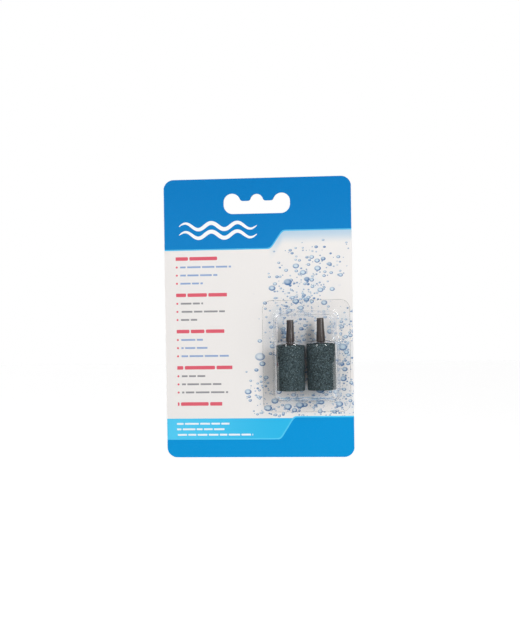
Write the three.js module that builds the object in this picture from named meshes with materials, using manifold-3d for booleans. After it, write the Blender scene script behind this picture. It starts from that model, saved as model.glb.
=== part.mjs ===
// Twin pack of cylindrical air stones: two stones with tube stems lie in a clear formed blister that is
// sealed to a hanging card. Millimetres, Z up, X to the right as seen from the printed front, which
// faces -Y. The origin is the crown of the hang slot's middle lobe, on the back of the card.
import * as THREE from "three";
import { mergeVertices } from "three/addons/utils/BufferGeometryUtils.js";
import Module from "manifold-3d";

const wasm = await Module();
wasm.setup();

// Driving dimensions of the card
const card = {
  width: 100,
  height: 148.4,
  thickness: 0.6,
  cornerRadius: 5.5,
};

// Hang slot: a middle lobe for a single peg, an end lobe each side, and a tooth between each pair
const slot = {
  crownBelowTop: 8.45,
  height: 10.4,
  middleLobeRadius: 3.35,
  endLobeRadius: 4.5,
  endLobeOffset: 13.2,
  endLobeRise: 0.4,
  toothReach: 3.6,
  toothTipRadius: 1.6,
  bottomCornerRadius: 4.9,
};

// Air stone: a bonded grit cylinder with a blind air chamber, slightly tapered by its mould. Fired stones
// vary in length: each has its own.
const stone = {
  diameter: 15,
  leftLength: 23.8,
  rightLength: 24.4,
  edgeRadius: 0.5,
  chamberMouthDiameter: 4.6,
  chamberFloorDiameter: 4.0,
  chamberDepth: 16,
};

// Stem: a moulded tube spigot with a plug below its collar and one step on its taper
const stem = {
  bore: 2,
  plugLength: 6,
  plugClearance: 0.3,
  plugChamfer: 0.4,
  collarDiameter: 6.2,
  collarHeight: 0.6,
  footDiameter: 4.86,
  stepLowerDiameter: 4.4,
  stepUpperDiameter: 4.1,
  tipDiameter: 3.6,
  tipRadius: 0.3,
  boreChamfer: 0.2,
  height: 13.1,
  stepBelowTip: 7.1,
  stepSlope: 0.25,
};

// Adhesive bead round the stem's collar
const bead = {
  outerDiameter: 8.8,
  height: 0.5,
  crestWidth: 0.35,
  clearance: 0.15,
};

// Where the two stones lie: the middle of the pair is set from the card's right edge
const pair = {
  pitch: 16.05,
  edgeDistance: 24.7,
  leftTopZ: -80.2,
  rightTopZ: -79.35,
  cardClearance: 0.4,
  crownClearance: 0.45,
};

// Formed blister: one wall all over, a deep bay round the stones and a shallower neck round the stems
const blister = {
  wall: 0.3,
  flange: 4,
  flangeCornerRadius: 5,
  rootRadius: 1.1,
  rootSink: 0.04,
};
const bay = {
  halfWidth: 18.1,
  top: -75.5,
  bottom: -110.9,
  cornerRadius: 4.6,
  draftDegrees: 11,
  crownEdgeRadius: 2,
  shelfEdgeRadius: 2.5,
  shelfRise: 3,
  crownSetback: 0.15,
  valleyRadius: 2.5,
  valleySink: 0.06,
};
const neck = {
  halfWidth: 17.2,
  sideShift: -0.5,
  top: -61.8,
  overlap: 9.5,
  cornerRadius: 4.8,
  draftDegrees: 15,
  edgeRadius: 1.5,
  stemClearance: 0.5,
};

// Fineness of the round forms, and how far a cutting body runs past what it cuts
const facets = { stone: 60, stem: 40, crown: 72, corner: 6, fillet: 5, slot: 8 };
const overrun = 1;

const radiansPerDegree = Math.PI / 180;
const quarterTurn = Math.PI / 2;

// Worked out from the sizes above
const pairCentreX = card.width / 2 - pair.edgeDistance;
const stoneRadius = stone.diameter / 2;
const stoneAxisDepth = pair.cardClearance + stoneRadius;
const crownRadius = stoneRadius + pair.crownClearance + blister.wall;
const bayCentreZ = (bay.top + bay.bottom) / 2;
const bayHalfHeight = (bay.top - bay.bottom) / 2;
const neckDepth = stoneAxisDepth + stem.footDiameter / 2 + neck.stemClearance + blister.wall;
const shelfDepth = stoneAxisDepth + bay.shelfRise;

const finish = {
  card: { color: 0xedebea, roughness: 0.45, metalness: 0 },
  blister: { color: 0xe6eef2, roughness: 0.08, metalness: 0, transparent: true, opacity: 0.3 },
  stone: { color: 0x2f4247, roughness: 0.95, metalness: 0 },
  stem: { color: 0x2a211f, roughness: 0.3, metalness: 0 },
  bead: { color: 0x1c1a1a, roughness: 0.4, metalness: 0 },
};

// Turns a geometry of the three.js kind into a solid that can be joined and cut
function solidOf(geometry) {
  const bare = geometry.clone();
  bare.deleteAttribute("normal");
  bare.deleteAttribute("uv");
  const merged = mergeVertices(bare);
  const mesh = new wasm.Mesh({
    numProp: 3,
    vertProperties: merged.getAttribute("position").array,
    triVerts: new Uint32Array(merged.getIndex().array),
  });
  return new wasm.Manifold(mesh);
}

// Turns a solid back into a geometry
function geometryOf(solid) {
  const mesh = solid.getMesh();
  const geometry = new THREE.BufferGeometry();
  geometry.setAttribute("position", new THREE.BufferAttribute(mesh.vertProperties, mesh.numProp));
  geometry.setIndex(new THREE.BufferAttribute(mesh.triVerts, 1));
  geometry.computeVertexNormals();
  return geometry;
}

// Points of an arc in a plane, both ends included
function arc(centreU, centreV, radius, fromAngle, toAngle, steps) {
  return Array.from({ length: steps + 1 }, (_, i) => {
    const angle = fromAngle + ((toAngle - fromAngle) * i) / steps;
    return new THREE.Vector2(centreU + radius * Math.cos(angle), centreV + radius * Math.sin(angle));
  });
}

// Revolves a profile of radius and height about the Z axis
function revolve(profile, segments) {
  const geometry = new THREE.LatheGeometry(profile, segments);
  geometry.rotateX(quarterTurn);
  return geometry;
}

function mesh(name, geometry, look) {
  const made = new THREE.Mesh(geometry, new THREE.MeshStandardMaterial(look));
  made.name = name;
  return made;
}

function roundedRectangle(left, right, bottom, top, radius) {
  const outline = new THREE.Shape();
  outline.absarc(right - radius, bottom + radius, radius, -quarterTurn, 0, false);
  outline.absarc(right - radius, top - radius, radius, 0, quarterTurn, false);
  outline.absarc(left + radius, top - radius, radius, quarterTurn, 2 * quarterTurn, false);
  outline.absarc(left + radius, bottom + radius, radius, 2 * quarterTurn, 3 * quarterTurn, false);
  outline.closePath();
  return outline;
}

// Hang slot: each tooth's two rounded tips are tangent to the lobes beside them
function hangSlot() {
  const middleZ = -slot.middleLobeRadius;
  const endZ = slot.endLobeRise - slot.endLobeRadius;
  const tipZ = slot.toothTipRadius - slot.toothReach;
  const innerTipX = Math.sqrt((slot.middleLobeRadius + slot.toothTipRadius) ** 2 - (tipZ - middleZ) ** 2);
  const endReach = Math.sqrt((slot.endLobeRadius + slot.toothTipRadius) ** 2 - (tipZ - endZ) ** 2);
  const outerTipX = slot.endLobeOffset - endReach;
  const halfWidth = slot.endLobeOffset + slot.endLobeRadius;
  const cornerX = halfWidth - slot.bottomCornerRadius;
  const cornerZ = slot.bottomCornerRadius - slot.height;
  const endTangent = Math.atan2(tipZ - endZ, -endReach);
  const middleTangent = Math.atan2(tipZ - middleZ, innerTipX);
  const half = 2 * quarterTurn;
  const hole = new THREE.Path();
  hole.absarc(cornerX, cornerZ, slot.bottomCornerRadius, -quarterTurn, 0, false);
  hole.absarc(slot.endLobeOffset, endZ, slot.endLobeRadius, 0, endTangent, false);
  hole.absarc(outerTipX, tipZ, slot.toothTipRadius, endTangent - half, -quarterTurn, true);
  hole.absarc(innerTipX, tipZ, slot.toothTipRadius, -quarterTurn, middleTangent - half, true);
  hole.absarc(0, middleZ, slot.middleLobeRadius, middleTangent, half - middleTangent, false);
  hole.absarc(-innerTipX, tipZ, slot.toothTipRadius, -middleTangent, -quarterTurn, true);
  hole.absarc(-outerTipX, tipZ, slot.toothTipRadius, -quarterTurn, -endTangent, true);
  hole.absarc(-slot.endLobeOffset, endZ, slot.endLobeRadius, half - endTangent, half, false);
  hole.absarc(-cornerX, cornerZ, slot.bottomCornerRadius, half, half + quarterTurn, false);
  hole.closePath();
  return hole;
}

function backingCard() {
  const half = card.width / 2;
  const top = slot.crownBelowTop;
  const outline = roundedRectangle(-half, half, top - card.height, top, card.cornerRadius);
  outline.holes.push(hangSlot());
  const settings = { depth: card.thickness, bevelEnabled: false, curveSegments: facets.slot };
  const board = new THREE.ExtrudeGeometry(outline, settings);
  board.rotateX(quarterTurn);
  return mesh("backing_card", board, finish.card);
}

// Side of a formed wall as depth from the card against how far it stands out from the wall's base line:
// a hollow fillet at the root, a drafted wall and a round edge. The inner side lies one inset within.
function wallProfile(depth, draftDegrees, edgeRadius, inset) {
  const draft = draftDegrees * radiansPerDegree;
  const [sine, cosine] = [Math.sin(draft), Math.cos(draft)];
  const root = blister.rootRadius;
  const rootDepth = blister.wall + root - blister.rootSink;
  const rootOut = (root - rootDepth * sine) / cosine;
  const edgeDepth = depth - edgeRadius;
  const edgeOut = -(edgeRadius + edgeDepth * sine) / cosine;
  const start = new THREE.Vector2(rootOut, inset > 0 ? -overrun : 0);
  const foot = arc(rootOut, rootDepth, root + inset, -quarterTurn, draft - 2 * quarterTurn, facets.fillet);
  const edge = arc(edgeOut, edgeDepth, edgeRadius - inset, draft, quarterTurn, facets.fillet);
  return [start, ...foot, ...edge];
}

// One closed ring of a wall: a rounded rectangle at one depth
function wallRing(form, out, depth) {
  const halfX = form.halfWidth + out;
  const halfZ = form.halfHeight + out;
  const radius = form.cornerRadius + out;
  const ring = [];
  for (let corner = 0; corner < 4; corner += 1) {
    const signX = corner === 0 || corner === 3 ? 1 : -1;
    const signZ = corner < 2 ? 1 : -1;
    const from = corner * quarterTurn;
    const centreX = form.centreX + signX * (halfX - radius);
    const centreZ = form.centreZ + signZ * (halfZ - radius);
    for (const p of arc(centreX, centreZ, radius, from, from + quarterTurn, facets.corner)) {
      ring.push(new THREE.Vector3(p.x, -card.thickness - depth, p.y));
    }
  }
  return ring;
}

// Closed body through a stack of rings that each turn left about the stack's direction
function loft(rings) {
  const count = rings[0].length;
  const points = rings.flat();
  const faces = [];
  for (let level = 0; level < rings.length - 1; level += 1) {
    for (let i = 0; i < count; i += 1) {
      const a = level * count + i;
      const b = level * count + ((i + 1) % count);
      faces.push(a, b, b + count, a, b + count, a + count);
    }
  }
  const last = (rings.length - 1) * count;
  for (let i = 1; i < count - 1; i += 1) {
    faces.push(0, i + 1, i, last, last + i, last + i + 1);
  }
  const geometry = new THREE.BufferGeometry().setFromPoints(points);
  geometry.setIndex(faces);
  return geometry;
}

function formedBody(form, inset) {
  const profile = wallProfile(form.depth, form.draftDegrees, form.edgeRadius, inset);
  return solidOf(loft(profile.map((p) => wallRing(form, p.x, p.y))));
}

// Round edge at a crown's end, as radius against height over the bay's middle, and the end on the axis
function crownEnd(inset) {
  const draft = bay.draftDegrees * radiansPerDegree;
  const [sine, cosine] = [Math.sin(draft), Math.cos(draft)];
  const edge = bay.crownEdgeRadius;
  const endAtAxis = bayHalfHeight - bay.crownSetback - (stoneAxisDepth * sine) / cosine;
  const edgeCentre = crownRadius - edge;
  const edgeHeight = endAtAxis - (edge + edgeCentre * sine) / cosine;
  const round = arc(edgeCentre, edgeHeight, edge - inset, 0, quarterTurn - draft, facets.fillet);
  return { round, axisEnd: endAtAxis - inset / cosine };
}

// Half-round crown over one stone: a barrel whose end walls carry on the bay's draft
function crown(side, inset) {
  const { round, axisEnd } = crownEnd(inset);
  const lower = round.map((p) => new THREE.Vector2(p.x, -p.y)).reverse();
  const profile = [new THREE.Vector2(0, -axisEnd), ...lower, ...round, new THREE.Vector2(0, axisEnd)];
  const barrel = revolve(profile, facets.crown);
  barrel.translate(pairCentreX + (side * pair.pitch) / 2, -card.thickness - stoneAxisDepth, bayCentreZ);
  return solidOf(barrel);
}

// One section of the hollow fillet between the crowns, at a height where they have the given radius
function valleySection(crownReach, height, inset) {
  const radius = bay.valleyRadius + inset;
  const reach = Math.sqrt((crownReach + radius) ** 2 - (pair.pitch / 2) ** 2);
  const lean = Math.atan2(reach, pair.pitch / 2);
  const centreDepth = stoneAxisDepth + reach - bay.valleySink;
  const hollow = arc(0, centreDepth, radius, lean - 2 * quarterTurn, -lean, facets.fillet);
  const outline = [
    new THREE.Vector2(0, stoneAxisDepth),
    new THREE.Vector2(hollow[0].x, stoneAxisDepth),
    ...hollow,
    new THREE.Vector2(hollow.at(-1).x, stoneAxisDepth),
  ];
  const z = bayCentreZ + height;
  return outline.map((p) => new THREE.Vector3(pairCentreX + p.x, -card.thickness - p.y, z));
}

// Hollow fillet where the two crowns meet, carried down over their round ends
function valleyFillet(inset) {
  const { round } = crownEnd(inset);
  const lower = round.map((p) => valleySection(p.x, -p.y, inset)).reverse();
  const upper = round.map((p) => valleySection(p.x, p.y, inset));
  return solidOf(loft([...lower, ...upper]));
}

// The space in front of the stones' backs: the barrels behind it would come out through the card
function frontSpace() {
  const depth = 2 * stone.diameter;
  const box = new THREE.BoxGeometry(card.width, depth, card.height);
  box.translate(pairCentreX, -card.thickness - stoneAxisDepth / 2 - depth / 2, bayCentreZ);
  return solidOf(box);
}

// The blister's form one inset within its outer side, without the flange
function blisterForm(inset) {
  const bayForm = {
    centreX: pairCentreX,
    halfWidth: bay.halfWidth,
    halfHeight: bayHalfHeight,
    centreZ: bayCentreZ,
    cornerRadius: bay.cornerRadius,
    draftDegrees: bay.draftDegrees,
    edgeRadius: bay.shelfEdgeRadius,
    depth: shelfDepth,
  };
  const neckBottom = bay.top - neck.overlap;
  const neckForm = {
    centreX: pairCentreX + neck.sideShift,
    halfWidth: neck.halfWidth,
    halfHeight: (neck.top - neckBottom) / 2,
    centreZ: (neck.top + neckBottom) / 2,
    cornerRadius: neck.cornerRadius,
    draftDegrees: neck.draftDegrees,
    edgeRadius: neck.edgeRadius,
    depth: neckDepth,
  };
  const crowns = crown(-1, inset).add(crown(1, inset)).add(valleyFillet(inset));
  return formedBody(bayForm, inset).add(formedBody(neckForm, inset)).add(crowns.intersect(frontSpace()));
}

function blisterShell() {
  const reach = blister.rootRadius + blister.flange;
  const left = pairCentreX - bay.halfWidth - reach;
  const right = pairCentreX + bay.halfWidth + reach;
  const bottom = bay.bottom - reach;
  const top = neck.top + reach;
  const outline = roundedRectangle(left, right, bottom, top, blister.flangeCornerRadius);
  const settings = { depth: blister.wall, bevelEnabled: false, curveSegments: facets.corner };
  const sheet = new THREE.ExtrudeGeometry(outline, settings);
  sheet.rotateX(quarterTurn);
  sheet.translate(0, -card.thickness, 0);
  const shell = solidOf(sheet).add(blisterForm(0)).subtract(blisterForm(blister.wall));
  return mesh("blister_shell", geometryOf(shell), finish.blister);
}

// Stone, standing on its lower face at zero height
function stoneProfile(length) {
  const edge = stone.edgeRadius;
  const shoulder = stoneRadius - edge;
  const floor = length - stone.chamberDepth;
  return [
    new THREE.Vector2(0, 0),
    ...arc(shoulder, edge, edge, -quarterTurn, 0, facets.fillet),
    ...arc(shoulder, length - edge, edge, 0, quarterTurn, facets.fillet),
    new THREE.Vector2(stone.chamberMouthDiameter / 2, length),
    new THREE.Vector2(stone.chamberFloorDiameter / 2, floor),
    new THREE.Vector2(0, floor),
  ];
}

// Stem, with zero height at the stone's top face
function stemProfile() {
  const boreRadius = stem.bore / 2;
  const taper = (stone.chamberMouthDiameter - stone.chamberFloorDiameter) / 2 / stone.chamberDepth;
  const plugTop = stone.chamberMouthDiameter / 2 - stem.plugClearance;
  const plugEnd = plugTop - taper * stem.plugLength;
  const step = stem.height - stem.stepBelowTip;
  const tipShoulder = stem.tipDiameter / 2 - stem.tipRadius;
  const tip = arc(tipShoulder, stem.height - stem.tipRadius, stem.tipRadius, 0, quarterTurn, facets.fillet);
  const point = (radius, height) => new THREE.Vector2(radius, height);
  return [
    point(boreRadius, -stem.plugLength),
    point(plugEnd - stem.plugChamfer, -stem.plugLength),
    point(plugEnd, stem.plugChamfer - stem.plugLength),
    point(plugTop, 0),
    point(stem.collarDiameter / 2, 0),
    point(stem.collarDiameter / 2, stem.collarHeight),
    point(stem.footDiameter / 2, stem.collarHeight),
    point(stem.stepLowerDiameter / 2, step - stem.stepSlope / 2),
    point(stem.stepUpperDiameter / 2, step + stem.stepSlope / 2),
    ...tip,
    point(boreRadius + stem.boreChamfer, stem.height),
    point(boreRadius, stem.height - stem.boreChamfer),
    point(boreRadius, -stem.plugLength),
  ];
}

// Bead of adhesive, with zero height at the stone's top face
function beadProfile() {
  const inner = stem.collarDiameter / 2 + bead.clearance;
  const outer = bead.outerDiameter / 2;
  const crest = inner + bead.crestWidth;
  const slope = new THREE.QuadraticBezierCurve(
    new THREE.Vector2(outer, 0),
    new THREE.Vector2((crest + outer) / 2, bead.height),
    new THREE.Vector2(crest, bead.height),
  );
  const start = new THREE.Vector2(inner, 0);
  return [start, ...slope.getPoints(facets.fillet), new THREE.Vector2(inner, bead.height), start];
}

// One air stone with its stem and bead, its top face at the given height
function airStone(name, side, length, topZ) {
  const group = new THREE.Group();
  const body = mesh(`${name}_stone`, revolve(stoneProfile(length), facets.stone), finish.stone);
  body.position.z = -length;
  group.add(body);
  group.add(mesh(`${name}_stem`, revolve(stemProfile(), facets.stem), finish.stem));
  group.add(mesh(`${name}_adhesive_bead`, revolve(beadProfile(), facets.stem), finish.bead));
  group.position.set(pairCentreX + (side * pair.pitch) / 2, -card.thickness - stoneAxisDepth, topZ);
  return group;
}

const pack = new THREE.Group();
pack.add(backingCard());
pack.add(blisterShell());
pack.add(airStone("left", -1, stone.leftLength, pair.leftTopZ));
pack.add(airStone("right", 1, stone.rightLength, pair.rightTopZ));

export default pack;
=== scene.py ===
"""Looks of a carded pair of air stones: printed hang card, clear formed blister and the two stones in it.

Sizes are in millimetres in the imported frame: X to the right and Z up as seen from the printed front, which
faces -Y. A mesh is scaled to metres when it is finished.
"""

import logging
import math
from bisect import bisect_right
from collections.abc import Callable
from dataclasses import dataclass, field
from enum import Enum

import bmesh
import bpy
from mathutils import Matrix, Vector, noise


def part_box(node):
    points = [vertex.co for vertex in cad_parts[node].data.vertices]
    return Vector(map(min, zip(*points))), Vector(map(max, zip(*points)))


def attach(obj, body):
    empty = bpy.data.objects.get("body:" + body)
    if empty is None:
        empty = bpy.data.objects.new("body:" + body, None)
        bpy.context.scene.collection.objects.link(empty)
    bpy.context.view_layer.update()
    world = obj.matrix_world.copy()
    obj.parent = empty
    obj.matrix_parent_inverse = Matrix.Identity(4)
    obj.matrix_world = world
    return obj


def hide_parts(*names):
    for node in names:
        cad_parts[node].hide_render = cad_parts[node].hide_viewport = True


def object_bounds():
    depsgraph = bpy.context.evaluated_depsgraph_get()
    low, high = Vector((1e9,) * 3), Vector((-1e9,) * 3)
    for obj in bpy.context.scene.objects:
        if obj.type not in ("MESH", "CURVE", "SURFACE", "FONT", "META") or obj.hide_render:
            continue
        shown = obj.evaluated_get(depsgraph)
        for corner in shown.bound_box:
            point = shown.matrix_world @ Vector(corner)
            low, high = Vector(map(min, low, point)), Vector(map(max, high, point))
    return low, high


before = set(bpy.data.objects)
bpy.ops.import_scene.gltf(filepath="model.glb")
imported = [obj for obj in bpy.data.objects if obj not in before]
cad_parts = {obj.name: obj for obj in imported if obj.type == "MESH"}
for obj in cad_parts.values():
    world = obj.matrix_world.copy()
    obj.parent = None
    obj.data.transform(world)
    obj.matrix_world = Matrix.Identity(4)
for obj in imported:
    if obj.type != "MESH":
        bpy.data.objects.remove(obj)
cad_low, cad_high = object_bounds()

METRES = 0.001
Point = tuple[float, float]
log = logging.getLogger("air_stone_pack")


def linear(red: int, green: int, blue: int) -> tuple[float, float, float, float]:
    """Light values of an eight-bit screen colour.

    Args:
        red: Red from 0 to 255.
        green: Green from 0 to 255.
        blue: Blue from 0 to 255.

    Returns:
        Red, green, blue and a full alpha, as shaders take them.
    """
    shares = (value / 255 for value in (red, green, blue))
    lights = (s / 12.92 if s <= 0.04045 else ((s + 0.055) / 1.055) ** 2.4 for s in shares)
    return (*lights, 1.0)


class Side(Enum):
    """Which of the two air stones a piece belongs to."""

    LEFT = "left"
    RIGHT = "right"


class Ink(Enum):
    """Colours of the printed board."""

    PAPER = linear(242, 239, 237)
    HEADER = linear(2, 125, 197)
    HEADER_LOW = linear(14, 131, 202)
    LINE = linear(84, 190, 236)
    MIST = linear(176, 208, 230)
    BAND = linear(84, 206, 247)
    BAND_DEEP = linear(48, 188, 238)
    FOOTER = linear(0, 151, 220)
    HEADING = linear(224, 70, 96)
    BLUE_NOTE = linear(112, 152, 206)
    GREY_NOTE = linear(116, 118, 124)
    BUBBLE_DEEP = linear(0, 92, 156)
    BUBBLE_PALE = linear(158, 210, 238)
    WHITE = linear(250, 251, 252)
    CORE = linear(214, 206, 194)
    BACK = linear(231, 228, 222)


class Field:
    """A number that varies over a surface, written with the usual signs of arithmetic."""

    def __init__(self, graph: "ShaderGraph", socket: bpy.types.NodeSocket) -> None:
        """Wraps one output of a shader graph."""
        self.graph = graph
        self.socket = socket

    def __add__(self, other: "Field | float") -> "Field":
        """Sum."""
        return self.graph.math("ADD", self, other)

    def __radd__(self, other: float) -> "Field":
        """Sum with a plain number in front."""
        return self.graph.math("ADD", other, self)

    def __sub__(self, other: "Field | float") -> "Field":
        """Difference."""
        return self.graph.math("SUBTRACT", self, other)

    def __rsub__(self, other: float) -> "Field":
        """Difference from a plain number."""
        return self.graph.math("SUBTRACT", other, self)

    def __mul__(self, other: "Field | float") -> "Field":
        """Product."""
        return self.graph.math("MULTIPLY", self, other)

    def __rmul__(self, other: float) -> "Field":
        """Product with a plain number in front."""
        return self.graph.math("MULTIPLY", other, self)

    def __truediv__(self, other: "Field | float") -> "Field":
        """Quotient."""
        return self.graph.math("DIVIDE", self, other)

    def __abs__(self) -> "Field":
        """Size without its sign."""
        return self.graph.math("ABSOLUTE", self)

    def least(self, other: "Field | float") -> "Field":
        """The smaller of two values."""
        return self.graph.math("MINIMUM", self, other)

    def most(self, other: "Field | float") -> "Field":
        """The larger of two values."""
        return self.graph.math("MAXIMUM", self, other)

    def whole(self) -> "Field":
        """The whole number below."""
        return self.graph.math("FLOOR", self)

    def part(self) -> "Field":
        """What is left over the whole number below."""
        return self.graph.math("FRACT", self)

    def below(self, limit: "Field | float", blur: float = 0.06) -> "Field":
        """1 where the value is under a limit and 0 over it, with a soft edge.

        Args:
            limit: Where the edge lies.
            blur: Half the width of the soft edge.

        Returns:
            The mask.
        """
        return self.graph.span(self - limit, -blur, blur, 1.0, 0.0)

    def above(self, limit: "Field | float", blur: float = 0.06) -> "Field":
        """1 where the value is over a limit and 0 under it, with an edge of twice the blur."""
        return self.graph.span(self - limit, -blur, blur, 0.0, 1.0)


class ShaderGraph:
    """A material's node tree, with short calls for the nodes that the finishes use."""

    def __init__(self, name: str) -> None:
        """Starts an empty material.

        Args:
            name: Its name.
        """
        self.material = bpy.data.materials.new(name)
        self.material.use_nodes = True
        self.tree = self.material.node_tree
        self.tree.nodes.clear()

    @classmethod
    def of(cls, tree: bpy.types.NodeTree) -> "ShaderGraph":
        """Opens a graph over a tree that exists, such as the surroundings', and empties it.

        Args:
            tree: The node tree.

        Returns:
            The graph, which has no material of its own.
        """
        graph = cls.__new__(cls)
        graph.material, graph.tree = None, tree
        tree.nodes.clear()
        return graph

    def node(self, kind: str, **settings: object) -> bpy.types.Node:
        """Adds a node and sets its options.

        Args:
            kind: The node's type.
            **settings: Its options by name.

        Returns:
            The node.
        """
        made = self.tree.nodes.new(kind)
        for name, value in settings.items():
            setattr(made, name, value)
        return made

    def feed(self, socket: bpy.types.NodeSocket, value: object) -> None:
        """Links a field or an output to an input, or sets the input's own value.

        Args:
            socket: The input.
            value: A field, an output, or a plain value.
        """
        source = value.socket if isinstance(value, Field) else value
        if isinstance(source, bpy.types.NodeSocket):
            self.tree.links.new(source, socket)
        else:
            socket.default_value = source

    def math(self, operation: str, *terms: "Field | float") -> Field:
        """Works out one step of arithmetic.

        Args:
            operation: The Math node's operation.
            *terms: Its terms, in order.

        Returns:
            The result.
        """
        made = self.node("ShaderNodeMath", operation=operation)
        for socket, term in zip(made.inputs, terms):
            self.feed(socket, term)
        return Field(self, made.outputs[0])

    def span(self, value: Field, low: float, high: float, at_low: float, at_high: float) -> Field:
        """Maps a range of a value onto another one with soft ends.

        Args:
            value: The value.
            low: Start of its range.
            high: End of its range.
            at_low: Result at the start and before it.
            at_high: Result at the end and past it.

        Returns:
            The result.
        """
        made = self.node("ShaderNodeMapRange", interpolation_type="SMOOTHSTEP")
        for socket, term in zip(made.inputs, (value, low, high, at_low, at_high)):
            self.feed(socket, term)
        return Field(self, made.outputs[0])

    def place(self, stretch: tuple[float, float, float] = (1.0, 1.0, 1.0)) -> bpy.types.NodeSocket:
        """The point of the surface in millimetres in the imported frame.

        Args:
            stretch: Factor along each axis.

        Returns:
            The point.
        """
        where = self.node("ShaderNodeTexCoord")
        scale = self.node("ShaderNodeMapping", vector_type="POINT")
        self.feed(scale.inputs["Vector"], where.outputs["Object"])
        self.feed(scale.inputs["Scale"], [share / METRES for share in stretch])
        return scale.outputs[0]

    def parts_of(self, point: bpy.types.NodeSocket) -> tuple[Field, Field, Field]:
        """Takes a point apart.

        Args:
            point: The point.

        Returns:
            Its three numbers.
        """
        made = self.node("ShaderNodeSeparateXYZ")
        self.feed(made.inputs[0], point)
        return tuple(Field(self, output) for output in made.outputs)

    def point(self, x: Field | float, y: Field | float, z: Field | float) -> bpy.types.NodeSocket:
        """Makes a point from three numbers.

        Args:
            x: Its first number.
            y: Its second number.
            z: Its third number.

        Returns:
            The point.
        """
        made = self.node("ShaderNodeCombineXYZ")
        for socket, value in zip(made.inputs, (x, y, z)):
            self.feed(socket, value)
        return made.outputs[0]

    def grain(self, point: object, size: float, detail: float = 2.0, roughness: float = 0.5) -> Field:
        """Soft noise from 0 to 1.

        Args:
            point: Where it is read, in millimetres.
            size: Size of its patches, in millimetres.
            detail: How many finer layers lie on it.
            roughness: How strong the finer layers are.

        Returns:
            The noise.
        """
        made = self.node("ShaderNodeTexNoise")
        self.feed(made.inputs["Vector"], point)
        self.feed(made.inputs["Scale"], 1 / size)
        self.feed(made.inputs["Detail"], detail)
        self.feed(made.inputs["Roughness"], roughness)
        return Field(self, made.outputs[0])

    def cells(self, point: object, size: float, feature: str = "F1", spread: float = 1.0) -> bpy.types.Node:
        """A cell pattern with one seed point in each cell.

        Args:
            point: Where it is read, in millimetres.
            size: Size of the cells, in millimetres.
            feature: What the pattern measures.
            spread: How far the seed points stray from a plain lattice.

        Returns:
            The node, with its outputs.
        """
        made = self.node("ShaderNodeTexVoronoi", feature=feature)
        self.feed(made.inputs["Vector"], point)
        self.feed(made.inputs["Scale"], 1 / size)
        self.feed(made.inputs["Randomness"], spread)
        return made

    def chance(self, point: object) -> Field:
        """A number from 0 to 1 that differs from one whole point to the next.

        Args:
            point: The whole point.

        Returns:
            The number.
        """
        made = self.node("ShaderNodeTexWhiteNoise")
        self.feed(made.inputs["Vector"], point)
        return Field(self, made.outputs["Value"])

    def blend(self, share: Field | float, low: object, high: object) -> bpy.types.NodeSocket:
        """A colour that goes from one to another with a share.

        Args:
            share: 0 for the first colour and 1 for the second.
            low: The first colour.
            high: The second colour.

        Returns:
            The colour.
        """
        made = self.node("ShaderNodeMix", data_type="RGBA")
        self.feed(made.inputs["Factor"], share)
        self.feed(made.inputs["A"], low)
        self.feed(made.inputs["B"], high)
        return made.outputs["Result"]

    def relief(self, height: Field, depth: float, below: object = None) -> bpy.types.NodeSocket:
        """A bump of a height field.

        Args:
            height: The field, from 0 to 1.
            depth: Depth of the relief in millimetres.
            below: A bump that it lies on.

        Returns:
            The bent normal.
        """
        made = self.node("ShaderNodeBump")
        self.feed(made.inputs["Height"], height)
        self.feed(made.inputs["Distance"], depth * METRES)
        if below is not None:
            self.feed(made.inputs["Normal"], below)
        return made.outputs[0]

    def surface(self, **inputs: object) -> bpy.types.NodeSocket:
        """A Principled surface.

        Args:
            **inputs: Its inputs by name, with an underscore for each space.

        Returns:
            The shader.
        """
        made = self.node("ShaderNodeBsdfPrincipled")
        for name, value in inputs.items():
            self.feed(made.inputs[name.replace("_", " ")], value)
        return made.outputs[0]

    def finish(self, shader: bpy.types.NodeSocket) -> bpy.types.Material:
        """Sends a shader to the output.

        Args:
            shader: The shader.

        Returns:
            The material.
        """
        output = self.node("ShaderNodeOutputMaterial")
        self.feed(output.inputs["Surface"], shader)
        return self.material


@dataclass(frozen=True)
class StepEdge:
    """A printed edge that runs level, climbs a slant with rounded turns and runs level again."""

    left_z: float
    right_z: float
    middle_x: float
    slope: float
    rounding: float = 3.2

    def height(self, x: Field, drop: float = 0.0) -> Field:
        """Height of the edge.

        Args:
            x: Where it is read.
            drop: How far the edge is moved down, square to itself.

        Returns:
            The height in millimetres.
        """
        middle_z = (self.left_z + self.right_z) / 2 - drop * math.hypot(1, self.slope)
        slant = (x - self.middle_x) * self.slope + middle_z
        capped = x.graph.math("SMOOTH_MIN", slant, self.right_z - drop, self.rounding)
        return x.graph.math("SMOOTH_MAX", capped, self.left_z - drop, self.rounding)


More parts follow.
